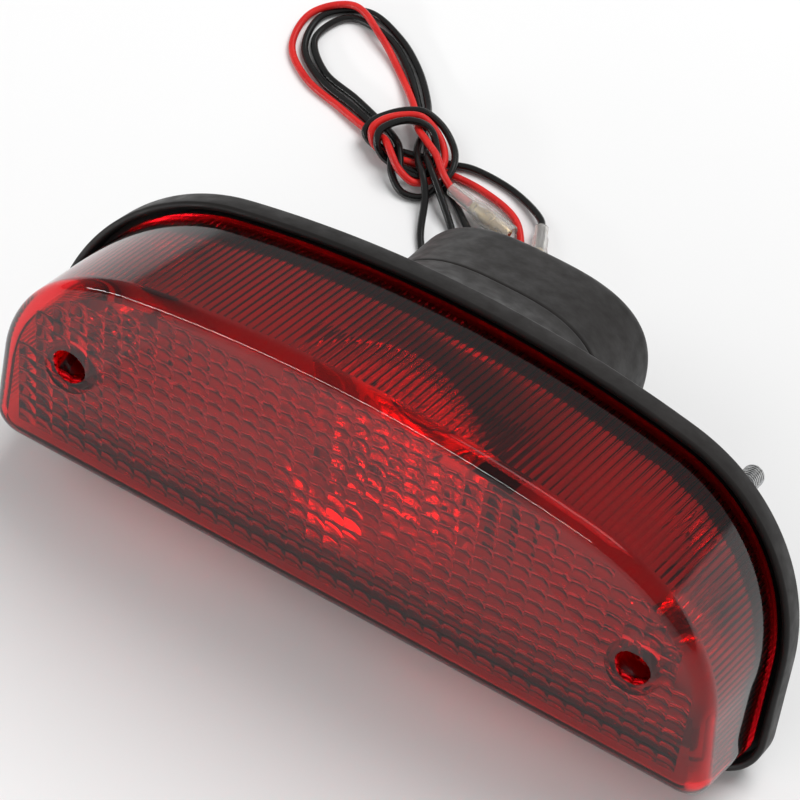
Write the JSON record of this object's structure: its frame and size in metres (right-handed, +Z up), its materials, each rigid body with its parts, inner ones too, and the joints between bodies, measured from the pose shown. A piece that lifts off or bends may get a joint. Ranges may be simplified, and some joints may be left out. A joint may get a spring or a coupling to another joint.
{
  "type": "motorcycle tail light",
  "caption": "Half-moon red tail light for a motorcycle: screwed lens on a tray with a bayonet bulb, rubber gasket and boot, two rear studs and free leads with bullet connectors.",
  "frame": {"origin": "centre of the lamp's footprint on the surface it stands on, without its leads", "axes": "+X to the right as seen from in front of the lens, +Y to the rear, +Z up; the lamp leans back 27 degrees, so its bulb axis points along (0, 0.891, -0.454) to the rear"},
  "size_m": [0.2344, 0.1891, 0.1017],
  "materials": {
    "lens": "deep red translucent acrylic with ribs and pillow optics moulded inside",
    "rubber": "dark grey moulded rubber, satin",
    "tray_plastic": "black moulded plastic",
    "zinc": "bright zinc-plated steel",
    "mirror": "vacuum-plated bright dish",
    "brass": "plain or tinned brass",
    "bulb_glass": "clear soda glass",
    "tungsten": "dark tungsten wire",
    "red_pvc": "red PVC insulation",
    "black_pvc": "black PVC insulation",
    "sleeve_clear": "milky clear soft PVC"
  },
  "bodies": {
    "tray": {"housing": "tray_plastic", "rubber_boot": "rubber", "lens_seal": "rubber", "stud_left": "zinc", "stud_right": "zinc", "reflector": "mirror", "socket_shell": "zinc", "socket_end": "tray_plastic", "contact_spring": "zinc", "lead_red": "red_pvc", "lead_black_1": "black_pvc", "lead_black_2": "black_pvc", "wire_red": "red_pvc", "wire_black_1": "black_pvc", "wire_black_2": "black_pvc", "sleeve_red": "sleeve_clear", "sleeve_black_1": "sleeve_clear", "sleeve_black_2": "sleeve_clear", "bullet_red": "brass", "bullet_black_1": "brass", "bullet_black_2": "brass"},
    "lens": {"lens": "lens"},
    "screw_left": {"lens_screw_left": "zinc", "screw_seal_left": "rubber"},
    "screw_right": {"lens_screw_right": "zinc", "screw_seal_right": "rubber"},
    "contact_plate": {"contact_plate": "tray_plastic", "contact_pip_brake": "brass", "contact_pip_tail": "brass"},
    "bulb": {"bulb_cap": "brass", "bulb_glass": "bulb_glass", "bulb_stem": "bulb_glass", "filament_brake": "tungsten", "filament_tail": "tungsten", "bulb_contact_brake": "brass", "bulb_contact_tail": "brass"}
  },
  "joints": [
    {"name": "lens_lift_off", "type": "slide", "parent": "tray", "child": "lens", "axis": [0, -0.891, 0.454], "range_m": [0, 0.07]},
    {"name": "lens_screw_left_out", "type": "slide", "parent": "lens", "child": "screw_left", "axis": [0, -0.891, 0.454], "range_m": [0, 0.03]},
    {"name": "lens_screw_right_out", "type": "slide", "parent": "lens", "child": "screw_right", "axis": [0, -0.891, 0.454], "range_m": [0, 0.03]},
    {"name": "contact_plate_push", "type": "slide", "parent": "tray", "child": "contact_plate", "axis": [0, 0.891, -0.454], "range_m": [0, 0.0025], "stiffness_N_per_m": 2000, "springref_m": -0.004, "deforming": ["contact_spring"]},
    {"name": "bulb_twist", "type": "hinge", "parent": "contact_plate", "child": "bulb", "pos_m": [0, 0.00326, 0.04069], "axis": [0, 0.891, -0.454], "range_deg": [0, 20]}
  ]
}
